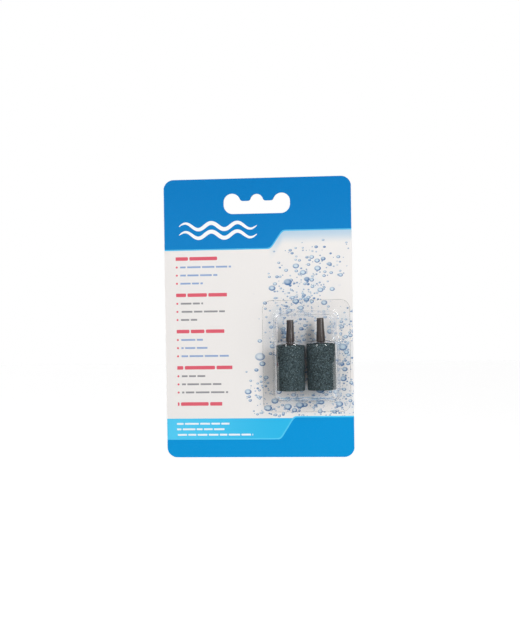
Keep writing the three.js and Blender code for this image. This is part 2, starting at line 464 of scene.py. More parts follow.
@dataclass(frozen=True)
class NoteRows:
    """Plain dashes where the board carries its notes: a heavy row and three light ones, five times over."""

    left_x: float = -44.0
    top_z: float = -30.2
    block_pitch: float = 19.4
    heading_drop: float = 3.6
    heading_half: float = 0.95
    row_drop: float = 8.1
    row_pitch: float = 4.35
    row_half: float = 0.48
    indent: float = 2.4
    dot_radius: float = 0.55
    blocks: int = 5
    word_gap: float = 0.75
    heading_word: float = 12.5
    heading_least: float = 20.0
    heading_spread: float = 17.0
    row_word: float = 7.0
    row_least: float = 11.0
    row_spread: float = 21.0

    def words(self, across: Field, along: Field, half: float, word: float, seed: Field) -> Field:
        """Dashes of uneven length in one row.

        Args:
            across: Distance from the row's middle line.
            along: Place along the row.
            half: Half the height of a dash.
            word: Mean length of a dash.
            seed: A number of the row's own.

        Returns:
            A mask of the dashes.
        """
        graph = across.graph
        cell = graph.cells(graph.point(along, 0.0, 0.0), word, "DISTANCE_TO_EDGE", 0.8)
        cell.voronoi_dimensions = "1D"
        graph.feed(cell.inputs["W"], along + seed * 97.0)
        gap = self.word_gap / 2 - Field(graph, cell.outputs["Distance"]) * word
        reach = graph.math("SMOOTH_MAX", across - half, gap, half)
        return reach.below(0.0, 0.1)

    def masks(self, x: Field, z: Field) -> tuple[Field, Field, Field]:
        """Where the inks of the notes lie.

        Args:
            x: Place across the board.
            z: Place up the board.

        Returns:
            Masks of the heading ink and the light ink, and 1 in the blocks whose light ink is grey.
        """
        graph = x.graph
        turns = (self.top_z - z) / self.block_pitch
        block = turns.whole()
        drop = turns.part() * self.block_pitch
        inside = block.above(-0.5, 0.01) * block.below(self.blocks - 0.5, 0.01)
        along = x - self.left_x
        heading_seed = graph.chance(graph.point(block + 11.0, 3.0, 0.0))
        heading_end = self.heading_least + self.heading_spread * heading_seed
        off_heading = abs(drop - self.heading_drop)
        heading = self.words(off_heading, along, self.heading_half, self.heading_word, heading_seed)
        heading = heading * along.above(0.0) * along.below(heading_end) * inside
        turn = ((drop - self.row_drop) / self.row_pitch + 0.5).whole()
        row = turn.most(0.0).least(2.0)
        across = abs(drop - self.row_drop - row * self.row_pitch)
        seed = graph.chance(graph.point(block, row, 5.0))
        text = self.words(across, along - self.indent, self.row_half, self.row_word, seed)
        light = inside * block.below(self.blocks - 1.5, 0.01)
        row_end = self.row_least + self.row_spread * seed
        text = text * along.above(self.indent) * along.below(row_end) * light
        beside_dot = along - self.dot_radius
        from_dot = graph.math("SQRT", across * across + beside_dot * beside_dot)
        dots = from_dot.below(self.dot_radius, 0.08) * light
        grey = (block * 0.5).part().above(0.25, 0.01)
        return heading.most(dots), text, grey


@dataclass(frozen=True)
class BubbleField:
    """Loose rings that rise over the board, thick at the lower edge and thinning upwards."""

    left_x: float = -7.0
    top_z: float = -25.0
    bottom_z: float = -119.0
    sizes: tuple[float, ...] = (6.2, 4.1, 2.8, 1.8)
    flatness: float = 1.3
    rim: float = 0.34
    column_x: float = 27.0
    column_core: float = 4.0
    column_reach: float = 24.0
    sway: float = 7.0
    sway_length: float = 17.0
    sway_z: float = -40.0
    thin_z: float = -29.0
    thick_z: float = -56.0
    bank_x: float = 2.0
    bank_lean: float = 0.08
    bank_core: float = 1.0
    bank_reach: float = 10.0
    bank_low_z: float = -112.0
    bank_high_z: float = -84.0
    side_from_x: float = 34.0
    side_to_x: float = 44.0
    side_high_z: float = -56.0
    side_low_z: float = -72.0
    foot_high_z: float = -102.0
    foot_to_x: float = 4.0

    def crowd(self, x: Field, z: Field) -> Field:
        """How many of the cells hold a ring.

        Args:
            x: Place across the board.
            z: Place up the board.

        Returns:
            A share from 0 to 1.
        """
        graph = x.graph
        swing = graph.math("SINE", (z - self.sway_z) / self.sway_length)
        plume = abs(x - self.column_x - swing * self.sway)
        rise = graph.span(z, self.thin_z, self.thick_z, 0.26, 0.9)
        column = graph.span(plume, self.column_core, self.column_reach, 1.0, 0.0) * rise
        off_bank = abs(x - self.bank_x + (z - self.bottom_z) * self.bank_lean)
        left_bank = graph.span(off_bank, self.bank_core, self.bank_reach, 1.0, 0.0)
        left_bank = left_bank * graph.span(z, self.bank_low_z, self.bank_high_z, 1.0, 0.0)
        right_bank = graph.span(x, self.side_from_x, self.side_to_x, 0.0, 0.9)
        right_bank = right_bank * graph.span(z, self.side_high_z, self.side_low_z, 0.0, 1.0)
        foot = graph.span(z, self.bottom_z, self.foot_high_z, 0.95, 0.0)
        foot = foot * graph.span(x, self.left_x, self.foot_to_x, 0.0, 1.0)
        return column.most(left_bank).most(right_bank).most(foot)

    def layer(self, x: Field, z: Field, size: float, shift: float) -> tuple[Field, Field]:
        """One layer of rings of about one size.

        Args:
            x: Place across the board.
            z: Place up the board.
            size: Size of the cells that hold one ring each.
            shift: Moves the layer so that no two are alike.

        Returns:
            How dark the ring is, and a mask of the pale disc in it.
        """
        graph = x.graph
        spot = graph.point(x + shift, 0.0, (z + shift) * self.flatness)
        nearest = graph.cells(spot, size)
        room = graph.cells(spot, size, "N_SPHERE_RADIUS")
        distance = Field(graph, nearest.outputs["Distance"])
        seat_x, _, seat_z = graph.parts_of(nearest.outputs["Position"])
        seat_x = seat_x - shift
        seat_z = seat_z / self.flatness - shift
        red, green, _ = graph.parts_of(nearest.outputs["Color"])
        radius = Field(graph, room.outputs["Radius"]) * (0.66 + 0.32 * green)
        shown = (red - self.crowd(seat_x, seat_z)).below(0.0, 0.01)
        shown = shown * seat_z.above(self.bottom_z + size * 0.4, 0.01) * seat_z.below(self.top_z, 0.01)
        shown = shown * seat_x.above(self.left_x, 0.01)
        share = distance / radius.most(0.02)
        disc = share.below(1.0, 0.08) * shown
        side = ((x - seat_x) * 0.5 - z + seat_z) / (radius * size).most(0.05)
        turned = graph.span(side, -0.9, 0.5, 0.35, 1.0)
        ring = graph.span(share, 0.92 - self.rim * 1.6, 0.92, 0.0, 1.0) * turned * disc
        inner = graph.span(share, 0.25, 0.55, 0.0, 1.0) * graph.span(share, 0.55, 0.8, 1.0, 0.0)
        ring = ring.most(inner * graph.span(side, 0.2, 0.9, 0.0, 0.5) * disc)
        return ring, disc

    def masks(self, x: Field, z: Field) -> tuple[Field, Field]:
        """Where the rings lie.

        Args:
            x: Place across the board.
            z: Place up the board.

        Returns:
            How dark the rings are, and a mask of their discs.
        """
        layers = [self.layer(x, z, size, 3.7 * size + 20.0) for size in self.sizes]
        ring, disc = layers[0]
        for next_ring, next_disc in layers[1:]:
            free = 1.0 - disc
            ring = ring + next_ring * free
            disc = disc + next_disc * free
        return ring, disc


@dataclass(frozen=True)
class PlainWaves:
    """Two plain waves that taper at their ends, as the header's ornament."""

    left: float = -42.0
    right: float = 0.0
    swing: float = 1.7
    pitch: float = 14.0
    half: float = 1.05
    middles: tuple[float, ...] = (-16.6, -21.2)

    def mask(self, x: Field, z: Field) -> Field:
        """Where the waves lie.

        Args:
            x: Place across the board.
            z: Place up the board.

        Returns:
            A mask of the waves.
        """
        graph = x.graph
        share = (x - (self.left + self.right) / 2) / ((self.right - self.left) / 2)
        taper = (1.0 - share * share).most(0.0)
        turn = (x - self.left) * (math.tau / self.pitch)
        wave = graph.math("SINE", turn) * self.swing
        steep = graph.math("COSINE", turn) * (self.swing * math.tau / self.pitch)
        square = graph.math("SQRT", 1.0 + steep * steep)
        mask = None
        for middle in self.middles:
            away = abs(z - middle - wave) / square
            one = (away - graph.math("SQRT", taper) * self.half).below(0.0) * taper.above(0.01, 0.01)
            mask = one if mask is None else mask.most(one)
        return mask


@dataclass(frozen=True)
class FootRows:
    """Three rows of plain dashes on the foot band."""

    first_z: float = -122.0
    pitch: float = 2.95
    left_x: float = -44.6
    half: float = 0.48
    word: float = 6.0
    least: float = 24.0
    spread: float = 17.0

    def mask(self, x: Field, z: Field, notes: NoteRows) -> Field:
        """Where the rows lie.

        Args:
            x: Place across the board.
            z: Place up the board.
            notes: The rows whose dashes they share.

        Returns:
            A mask of the dashes.
        """
        graph = x.graph
        turn = ((self.first_z - z) / self.pitch + 0.5).whole().most(0.0).least(2.0)
        seed = graph.chance(graph.point(turn, 8.0, 1.0))
        across = abs(self.first_z - z - turn * self.pitch)
        along = x - self.left_x
        words = notes.words(across, along, self.half, self.word, seed)
        return words * along.above(0.0) * along.below(self.least + self.spread * seed)


@dataclass(frozen=True)
class BoardPrint:
    """Coated white board with a blue header, a cyan foot band, rows of dashes and rings."""

    half_width: float = 50.0
    front_y: float = -0.585
    back_y: float = -0.015
    header: StepEdge = StepEdge(-28.75, -19.3, 9.95, 1.45)
    header_line: float = 0.68
    header_fade_low: float = -30.0
    header_fade_high: float = 8.0
    mist_drop: float = 7.5
    mist_from_x: float = 5.0
    mist_full_x: float = 13.0
    wash_full_x: float = 10.0
    foot_top: float = -119.2
    foot: StepEdge = StepEdge(-130.5, -118.9, 14.8, 1.6)
    foot_line: float = 0.75
    band_deep_x: float = 16.0
    worn_rim: float = 0.28
    waves: PlainWaves = field(default_factory=PlainWaves)
    foot_rows: FootRows = field(default_factory=FootRows)
    notes: NoteRows = field(default_factory=NoteRows)
    bubbles: BubbleField = field(default_factory=BubbleField)

    def header_colour(self, graph: ShaderGraph, x: Field, z: Field, ground: object) -> object:
        """Lays the header, its light lower line and the waves over the ground.

        Args:
            graph: The board's graph.
            x: Place across the board.
            z: Place up the board.
            ground: The colour below.

        Returns:
            The colour.
        """
        fall = graph.span(z, self.header_fade_low, self.header_fade_high, 1.0, 0.0)
        blue = graph.blend(fall, Ink.HEADER.value, Ink.HEADER_LOW.value)
        line = (z - self.header.height(x, self.header_line)).above(0.0)
        over = (z - self.header.height(x)).above(0.0)
        colour = graph.blend(line, ground, Ink.LINE.value)
        colour = graph.blend(over, colour, blue)
        return graph.blend(self.waves.mask(x, z), colour, Ink.WHITE.value)

    def foot_colour(self, graph: ShaderGraph, x: Field, z: Field, ground: object) -> object:
        """Lays the cyan band, its light line, the blue foot and the band's dashes over the ground.

        Args:
            graph: The board's graph.
            x: Place across the board.
            z: Place up the board.
            ground: The colour below.

        Returns:
            The colour.
        """
        deep = graph.span(x, -self.half_width, self.band_deep_x, 0.0, 1.0)
        band = graph.blend(deep, Ink.BAND.value, Ink.BAND_DEEP.value)
        colour = graph.blend((z - self.foot_top).below(0.0), ground, band)
        line = (z - self.foot.height(x, -self.foot_line)).below(0.0)
        colour = graph.blend(line, colour, Ink.BAND.value)
        under = (z - self.foot.height(x)).below(0.0)
        colour = graph.blend(under, colour, Ink.FOOTER.value)
        rows = self.foot_rows.mask(x, z, self.notes)
        return graph.blend(rows * 0.9, colour, Ink.WHITE.value)

    def material(self) -> bpy.types.Material:
        """Mixes the board's material.

        Returns:
            The material.
        """
        graph = ShaderGraph("printed_board")
        point = graph.place()
        x, y, z = graph.parts_of(point)
        fibre = graph.grain(point, 0.9, 4.0, 0.65)
        paper = graph.blend(fibre * 0.12, Ink.PAPER.value, Ink.CORE.value)
        below_header = self.header.height(x, self.header_line) - z
        mist = graph.span(below_header, 0.0, self.mist_drop, 0.85, 0.0)
        mist = mist * graph.span(x, self.mist_from_x, self.mist_full_x, 0.0, 1.0)
        haze = graph.grain(point, 14.0, 3.0, 0.6)
        crowd = self.bubbles.crowd(x, z)
        crowd = crowd * graph.span(x, self.bubbles.left_x, self.wash_full_x, 0.0, 1.0)
        wash = graph.span(haze, 0.42, 0.7, 0.0, 0.28) * crowd * z.above(self.bubbles.bottom_z, 2.0)
        ground = graph.blend(mist, paper, Ink.MIST.value)
        ground = graph.blend(wash, ground, Ink.MIST.value)
        ring, disc = self.bubbles.masks(x, z)
        ground = graph.blend(disc * 0.4, ground, Ink.BUBBLE_PALE.value)
        depth = graph.span(graph.grain(point, 5.0, 2.0), 0.35, 0.65, 0.8, 1.0)
        ground = graph.blend(ring * depth, ground, Ink.BUBBLE_DEEP.value)
        heading, text, grey = self.notes.masks(x, z)
        note = graph.blend(grey, Ink.BLUE_NOTE.value, Ink.GREY_NOTE.value)
        ground = graph.blend(text * 0.8, ground, note)
        ground = graph.blend(heading * 0.92, ground, Ink.HEADING.value)
        colour = self.header_colour(graph, x, z, ground)
        colour = self.foot_colour(graph, x, z, colour)
        mottle = graph.grain(point, 0.35, 3.0, 0.7)
        colour = graph.blend(graph.span(mottle, 0.35, 0.75, 0.0, 0.008), colour, Ink.WHITE.value)
        worn = (abs(x) - self.half_width + self.worn_rim * fibre).above(0.0, 0.08)
        colour = graph.blend(worn * 0.7, colour, Ink.PAPER.value)
        back = graph.blend(fibre * 0.35, Ink.BACK.value, Ink.CORE.value)
        core = graph.blend(graph.grain(point, 0.12, 3.0) * 0.6, Ink.CORE.value, Ink.PAPER.value)
        colour = graph.blend(y.above(self.front_y, 0.005), colour, core)
        colour = graph.blend(y.above(self.back_y, 0.005), colour, back)
        inner = y.above(self.front_y, 0.005)
        rough = graph.span(mottle, 0.2, 0.8, 0.34, 0.46) + inner * 0.4
        sag = graph.relief(graph.grain(point, 22.0, 1.0), 0.22)
        tooth = graph.relief(graph.grain(point, 0.22, 3.0, 0.6), 0.004, sag)
        shader = graph.surface(
            Base_Color=colour,
            Roughness=rough,
            Specular_IOR_Level=0.08,
            Coat_Weight=0.03,
            Coat_Roughness=0.18,
            Normal=tooth,
        )
        return graph.finish(shader)


@dataclass(frozen=True)
class ClearFilm:
    """Thin clear thermoformed sheet that lamps shine through."""

    ior: float = 1.46
    roughness: float = 0.015
    ripple: float = 0.012
    sealed_y: float = -1.6

    def material(self) -> bpy.types.Material:
        """Mixes the film's material.

        Returns:
            The material.
        """
        graph = ShaderGraph("clear_film")
        point = graph.place()
        edge = graph.node("ShaderNodeLayerWeight")
        edge.inputs["Blend"].default_value = 0.35
        facing = Field(graph, edge.outputs["Facing"])
        haze = graph.grain(point, 3.0, 3.0, 0.6)
        oblique = graph.span(facing, 0.35, 0.95, 0.0, 1.0)
        tint = graph.blend(oblique, linear(254, 254, 255), linear(226, 229, 233))
        tint = graph.blend(graph.span(haze, 0.45, 0.8, 0.0, 0.15), tint, linear(242, 245, 248))
        _, y, _ = graph.parts_of(point)
        drawn = y.below(self.sealed_y, 0.5)
        tint = graph.blend(drawn, linear(255, 255, 255), tint)
        draw = graph.relief(graph.grain(graph.place((1.0, 1.0, 0.25)), 1.6, 2.0), self.ripple)
        worn = graph.grain(point, 0.8, 4.0, 0.7)
        scuff = graph.span(worn, 0.45, 0.8, self.roughness, self.roughness + 0.03)
        glass = graph.surface(
            Base_Color=tint,
            Roughness=scuff,
            IOR=self.ior,
            Transmission_Weight=1.0,
            Normal=draw,
        )
        clear = graph.node("ShaderNodeBsdfTransparent")
        slant = graph.span(facing, 0.3, 0.95, 0.0, 1.0)
        shade = graph.blend(slant, linear(250, 251, 252), linear(208, 213, 220))
        graph.feed(clear.inputs["Color"], graph.blend(drawn, linear(255, 255, 255), shade))
        rays = graph.node("ShaderNodeLightPath")
        lit = graph.node("ShaderNodeMixShader")
        graph.feed(lit.inputs[0], rays.outputs["Is Shadow Ray"])
        graph.feed(lit.inputs[1], glass)
        graph.feed(lit.inputs[2], clear.outputs[0])
        open_film = graph.node("ShaderNodeMixShader")
        graph.feed(open_film.inputs[0], rays.outputs["Is Diffuse Ray"])
        graph.feed(open_film.inputs[1], lit.outputs[0])
        graph.feed(open_film.inputs[2], clear.outputs[0])
        return graph.finish(open_film.outputs[0])


@dataclass(frozen=True)
class BondedGrit:
    """Dark teal grit, fused grain to grain, with pale and black grains and open pores."""

    grain: float = 0.45
    clump: float = 0.62

    def material(self) -> bpy.types.Material:
        """Mixes the stone's material.

        Returns:
            The material.
        """
        graph = ShaderGraph("bonded_grit")
        point = graph.place()
        cell = graph.cells(point, self.grain)
        tone, pale, _ = graph.parts_of(cell.outputs["Color"])
        away = Field(graph, cell.outputs["Distance"])
        clump_tone, tint, _ = graph.parts_of(graph.cells(point, self.clump).outputs["Color"])
        fine = graph.grain(point, 0.25, 4.0, 0.7)
        cloud = graph.grain(point, 4.5, 3.0, 0.6)
        shade = tone * 0.55 + clump_tone * 0.35 + graph.span(cloud, 0.3, 0.7, -0.04, 0.08)
        colour = graph.blend(shade, linear(16, 23, 24), linear(98, 116, 119))
        colour = graph.blend(graph.span(tint, 0.7, 0.9, 0.0, 0.35), colour, linear(52, 74, 84))
        bright = graph.span(pale, 0.88, 0.96, 0.0, 0.8) * graph.span(away, 0.35, 0.7, 1.0, 0.0)
        colour = graph.blend(bright, colour, linear(132, 152, 156))
        # Painted shade: darker towards each grain's edge, where the relief sinks between grains, standing in
        # for the shade in those gaps.
        seam = graph.span(away, 0.45, 0.85, 0.0, 0.6)
        colour = graph.blend(seam, colour, linear(10, 15, 17))
        dust = graph.span(graph.grain(point, 0.9, 4.0, 0.7), 0.52, 0.72, 0.0, 0.15)
        colour = graph.blend(dust, colour, linear(96, 110, 114))
        lumps = graph.relief(1.0 - away, 0.16)
        crumbs = graph.relief(fine, 0.05, lumps)
        shader = graph.surface(
            Base_Color=colour,
            Roughness=graph.span(tone, 0.0, 1.0, 0.72, 0.95),
            Specular_IOR_Level=0.18,
            Normal=crumbs,
        )
        return graph.finish(shader)


@dataclass(frozen=True)
class StemPlastic:
    """Glossy brown-black moulded plastic with faint flow lines."""

    def material(self) -> bpy.types.Material:
        """Mixes the stems' material.

        Returns:
            The material.
        """
        graph = ShaderGraph("stem_plastic")
        point = graph.place()
        flow = graph.grain(graph.place((1.0, 1.0, 0.12)), 0.5, 3.0, 0.6)
        smear = graph.grain(point, 1.8, 3.0, 0.6)
        colour = graph.blend(flow, linear(58, 50, 48), linear(78, 70, 67))
        colour = graph.blend(graph.span(smear, 0.5, 0.8, 0.0, 0.25), colour, linear(90, 82, 78))
        scratch = graph.relief(flow, 0.004)
        shader = graph.surface(
            Base_Color=colour,
            Roughness=graph.span(smear, 0.3, 0.8, 0.11, 0.18),
            Specular_IOR_Level=0.5,
            Coat_Weight=0.1,
            Coat_Roughness=0.2,
            Normal=graph.relief(smear, 0.006, scratch),
        )
        return graph.finish(shader)


@dataclass(frozen=True)
class SetAdhesive:
    """Dark set adhesive with a wet shine and small dimples."""

    def material(self) -> bpy.types.Material:
        """Mixes the adhesive's material.

        Returns:
            The material.
        """
        graph = ShaderGraph("adhesive")
        point = graph.place()
        lumps = graph.grain(point, 0.7, 3.0, 0.6)
        colour = graph.blend(lumps, linear(20, 19, 20), linear(44, 42, 42))
        shader = graph.surface(
            Base_Color=colour,
            Roughness=graph.span(lumps, 0.3, 0.7, 0.22, 0.5),
            Specular_IOR_Level=0.45,
            Normal=graph.relief(lumps, 0.08),
        )
        return graph.finish(shader)


def to_object(name: str, shape: bmesh.types.BMesh, finish: bpy.types.Material) -> bpy.types.Object:
    """Turns a shape in millimetres into a smooth object in metres, at the origin.

    Args:
        name: Name of the piece.
        shape: The shape, which is freed.
        finish: Its material.

    Returns:
        The object.
    """
    bmesh.ops.scale(shape, vec=(METRES,) * 3, verts=shape.verts)
    mesh = bpy.data.meshes.new(name)
    shape.to_mesh(mesh)
    shape.free()
    mesh.polygons.foreach_set("use_smooth", [True] * len(mesh.polygons))
    mesh.materials.append(finish)
    made = bpy.data.objects.new(name, mesh)
    bpy.context.scene.collection.objects.link(made)
    return made


def seat(piece: bpy.types.Object, body: str, slot: str, *nodes: str) -> None:
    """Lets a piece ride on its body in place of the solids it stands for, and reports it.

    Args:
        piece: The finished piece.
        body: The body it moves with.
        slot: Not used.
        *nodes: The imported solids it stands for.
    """
    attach(piece, body)
    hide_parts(*nodes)
    log.info("%s: %d faces, rides on %s", piece.name, len(piece.data.polygons), body)


def soft_most(first: float, second: float, reach: float) -> float:
    """The larger of two heights, with a hollow fillet where they meet.

    Args:
        first: One height.
        second: The other height.
        reach: How near each other they start to blend.

    Returns:
        The blended height.
    """
    near = max(reach - abs(first - second), 0.0) / reach
    return max(first, second) + near * near * reach / 4


@dataclass(frozen=True)
class DraftedBox:
    """A round-cornered body of the forming tool, with drafted sides and a round upper edge."""

    centre_x: float
    centre_z: float
    half_x: float
    half_z: float
    corner: float
    draft: float
    edge: float
    depth: float
    root: float
    sheet: float

    def inside(self, x: float, z: float) -> float:
        """Distance within the base line.

        Args:
            x: Place across the card.
            z: Place up the card.

        Returns:
            The distance, less than zero outside the line.
        """
        over_x = abs(x - self.centre_x) - self.half_x + self.corner
        over_z = abs(z - self.centre_z) - self.half_z + self.corner
        outer = math.hypot(max(over_x, 0.0), max(over_z, 0.0))
        return self.corner - outer - min(max(over_x, over_z), 0.0)

    def height(self, x: float, z: float) -> float:
        """Height of the drawn sheet over the card.

        Args:
            x: Place across the card.
            z: Place up the card.

        Returns:
            The height of the sheet's outer side.
        """
        within = self.inside(x, z)
        sine, cosine = math.sin(self.draft), math.cos(self.draft)
        root_depth = self.sheet + self.root
        root_within = (root_depth * sine - self.root) / cosine
        edge_depth = self.depth - self.edge
        edge_within = (self.edge + edge_depth * sine) / cosine
        if within <= root_within:
            return self.sheet
        if within < root_within + self.root * cosine:
            return root_depth - math.sqrt(max(self.root**2 - (within - root_within) ** 2, 0.0))
        if within <= edge_within - self.edge * cosine:
            return within * cosine / sine
        if within < edge_within:
            return edge_depth + math.sqrt(max(self.edge**2 - (edge_within - within) ** 2, 0.0))
        return self.depth


@dataclass(frozen=True)
class RoundCrown:
    """The half-round of the forming tool over one stone."""

    centre_x: float
    centre_z: float
    radius: float
    axis_depth: float
    half_length: float
    draft: float
    edge: float

    def reach(self, z: float) -> float:
        """Radius of the crown where the sheet is cut square to the stone's axis.

        Args:
            z: Place of the cut.

        Returns:
            The radius, less than zero past the crown's end.
        """
        along = abs(z - self.centre_z)
        tangent = math.tan(self.draft)
        end = self.half_length - self.axis_depth * tangent
        inner = self.radius - self.edge
        edge_along = end - (self.edge + inner * math.sin(self.draft)) / math.cos(self.draft)
        if along <= edge_along:
            return self.radius
        if along <= edge_along + self.edge * math.cos(self.draft):
            return inner + math.sqrt(max(self.edge**2 - (along - edge_along) ** 2, 0.0))
        return (end - along) / tangent

    def height(self, x: float, z: float) -> float:
        """Height of the sheet over the card.

        Args:
            x: Place across the card.
            z: Place up the card.

        Returns:
            The height, or zero beside the crown.
        """
        radius = self.reach(z)
        beside = abs(x - self.centre_x)
        if beside >= radius:
            return 0.0
        return self.axis_depth + math.sqrt(radius**2 - beside**2)


@dataclass
class FormedBlister:
    """The clear sheet, drawn over a deep bay with two round crowns and over a shallower neck."""

    sheet: float = 0.3
    seal_gap: float = 0.02
    flange: float = 4.0
    flange_corner: float = 5.0
    root: float = 1.1
    bay_top: float = -75.5
    bay_bottom: float = -110.9
    bay_half: float = 18.1
    bay_corner: float = 4.6
    bay_draft: float = math.radians(11)
    shelf_edge: float = 2.5
    shelf_rise: float = 3.0
    crown_edge: float = 2.0
    crown_play: float = 0.75
    crown_setback: float = 0.15
    neck_half: float = 17.2
    neck_shift: float = -0.5
    neck_top: float = -61.8
    neck_overlap: float = 9.5
    neck_corner: float = 4.8
    neck_draft: float = math.radians(15)
    neck_edge: float = 1.5
    neck_depth: float = 11.13
    seam: float = 1.0
    valley: float = 2.5
    film_step: float = 0.42
    section_steps: int = 4000
    finish: ClearFilm = field(default_factory=ClearFilm)

    def tool(self) -> tuple[DraftedBox, DraftedBox, list[RoundCrown]]:
        """The bodies of the forming tool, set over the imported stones.

        Returns:
            The bay, the neck and the two crowns.
        """
        card_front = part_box("backing_card")[0].y / METRES
        axes = [sum(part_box(f"{side.value}_stone"), Vector()) / 2 / METRES for side in Side]
        radius = (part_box("left_stone")[1].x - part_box("left_stone")[0].x) / 2 / METRES
        axis_depth = card_front - axes[0].y
        centre_x = (axes[0].x + axes[1].x) / 2
        centre_z = (self.bay_top + self.bay_bottom) / 2
        half_z = (self.bay_top - self.bay_bottom) / 2
        common = {"root": self.root, "sheet": self.sheet}
        bay = DraftedBox(
            centre_x, centre_z, self.bay_half, half_z, self.bay_corner, self.bay_draft,
            self.shelf_edge, axis_depth + self.shelf_rise, **common,
        )
        neck_low = self.bay_top - self.neck_overlap
        neck = DraftedBox(
            centre_x + self.neck_shift, (self.neck_top + neck_low) / 2, self.neck_half,
            (self.neck_top - neck_low) / 2, self.neck_corner, self.neck_draft, self.neck_edge,
            self.neck_depth, **common,
        )
        crowns = [
            RoundCrown(
                axis.x, centre_z, radius + self.crown_play, axis_depth, half_z - self.crown_setback,
                self.bay_draft, self.crown_edge,
            )
            for axis in axes
        ]
        return bay, neck, crowns

    def drawn(self) -> Callable[[float, float], float]:
        """Joins the tool's bodies into one sheet.

        Returns:
            A function that gives the sheet's height over the card at a place on the card.
        """
        bay, neck, crowns = self.tool()

        def height(x: float, z: float) -> float:
            """Height of the sheet's outer side.

            Args:
                x: Place across the card.
                z: Place up the card.

            Returns:
                The height.
            """
            crown = max(crowns[0].height(x, z), crowns[1].height(x, z), self.bridge(crowns, x, z))
            deep, shallow = bay.height(x, z), neck.height(x, z)
            trays = soft_most(deep, shallow, self.seam)
            if min(deep, shallow) <= self.sheet and trays <= self.sheet + self.seam:
                trays = max(deep, shallow)
            return soft_most(trays, crown, self.seam) if crown > 0 else trays

        return height

    def bridge(self, crowns: list[RoundCrown], x: float, z: float) -> float:
        """Height of the hollow in which the sheet spans the gap between the crowns.

        Args:
            crowns: The two crowns.
            x: Place across the card.
            z: Place up the card.

        Returns:
            The height, or zero beside the hollow.
        """
        left, right = crowns
        half_pitch = (right.centre_x - left.centre_x) / 2
        beside = abs(x - (left.centre_x + right.centre_x) / 2)
        span = left.reach(z) + self.valley
        if span <= half_pitch or beside >= half_pitch * self.valley / span:
            return 0.0
        middle = left.axis_depth + math.sqrt(span**2 - half_pitch**2)
        return middle - math.sqrt(self.valley**2 - beside**2)

    def even_lines(self, low: float, high: float, height: Callable[[float], float]) -> list[float]:
        """Places of grid lines that lie evenly along the drawn sheet.

        Args:
            low: Where the first line lies.
            high: Where the last line lies.
            height: Height of the sheet along the section.

        Returns:
            The places, in rising order.
        """
        steps = self.section_steps
        places = [low + (high - low) * i / steps for i in range(steps + 1)]
        heights = [height(place) for place in places]
        run = [0.0]
        for i in range(steps):
            run.append(run[-1] + math.hypot(places[i + 1] - places[i], heights[i + 1] - heights[i]))
        count = round(run[-1] / self.film_step)
        lines = []
        for i in range(count + 1):
            wanted = run[-1] * i / count
            at = min(bisect_right(run, wanted), steps) - 1
            share = (wanted - run[at]) / max(run[at + 1] - run[at], 1e-9)
            lines.append(places[at] + (places[at + 1] - places[at]) * share)
        return lines

    def build(self) -> bpy.types.Object:
        """Draws the sheet over the tool and dresses it.

        Returns:
            The blister.
        """
        low, high = (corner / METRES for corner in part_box("blister_shell"))
        card_front = high.y
        height = self.drawn()
        bay, _, crowns = self.tool()
        xs = self.even_lines(low.x, high.x, lambda x: height(x, bay.centre_z))
        zs = self.even_lines(low.z, high.z, lambda z: height(crowns[0].centre_x, z))
        shape = bmesh.new()
        bmesh.ops.create_grid(shape, x_segments=len(xs) - 1, y_segments=len(zs) - 1, size=1.0)
        for vertex in shape.verts:
            x = xs[round((vertex.co.x + 1) / 2 * (len(xs) - 1))]
            z = zs[round((vertex.co.y + 1) / 2 * (len(zs) - 1))]
            drawn_x, drawn_z = self.round_corner(x, z, low, high)
            vertex.co = (drawn_x, card_front - height(x, z), drawn_z)
        for face in shape.faces:
            face.normal_update()
        if sum(face.normal.y for face in shape.faces) > 0:
            bmesh.ops.reverse_faces(shape, faces=shape.faces)
        blister = to_object("formed_blister", shape, self.finish.material())
        wall = blister.modifiers.new("sheet", "SOLIDIFY")
        wall.thickness = (self.sheet - self.seal_gap) * METRES
        wall.offset = -1.0
        wall.use_even_offset = True
        seat(blister, "pack", "clear_film", "blister_shell")
        return blister

    def round_corner(self, x: float, z: float, low: Vector, high: Vector) -> tuple[float, float]:
        """Draws the flange's square corners in to round ones.

        Args:
            x: Place across the card.
            z: Place up the card.
            low: The flange's lowest corner.
            high: The flange's highest corner.

        Returns:
            The place drawn in.
        """
        centre_x = min(max(x, low.x + self.flange_corner), high.x - self.flange_corner)
        centre_z = min(max(z, low.z + self.flange_corner), high.z - self.flange_corner)
        off_x, off_z = x - centre_x, z - centre_z
        length = math.hypot(off_x, off_z)
        if length == 0:
            return x, z
        share = max(abs(off_x), abs(off_z)) / length
        return centre_x + off_x * share, centre_z + off_z * share


@dataclass(frozen=True)
class StemSizes:
    """The tube spigot: radii and heights of its plug, collar, taper, step and tip."""

    bore: float = 1.0
    bore_break: float = 0.15
    plug_tip: float = 1.5
    plug: float = 1.9
    plug_nose: float = 0.4
    plug_top: float = 2.0
    collar_top: float = 2.95
    collar_side: float = 0.45
    collar_round: float = 0.15
    foot: float = 2.42
    foot_side: float = 0.8
    foot_round: float = 0.2
    below_step: float = 2.2
    below_step_drop: float = 0.2
    below_step_round: float = 0.12
    above_step: float = 2.05
    above_step_rise: float = 0.12
    above_step_round: float = 0.1
    step_drop: float = 7.1
    tip: float = 1.8
    tip_round: float = 0.3
    mouth_round: float = 0.2
    around: int = 96
    row: float = 0.9


@dataclass(frozen=True)
class BeadSizes:
    """The bead of adhesive: its section and how unevenly it set."""

    inner: float = 3.25
    steps: int = 10
    fullness: float = 0.8
    waves: float = 1.6
    pull: float = 0.16
    hollow: float = 0.3
    slump: float = 0.25
    around: int = 120
    row: float = 0.25


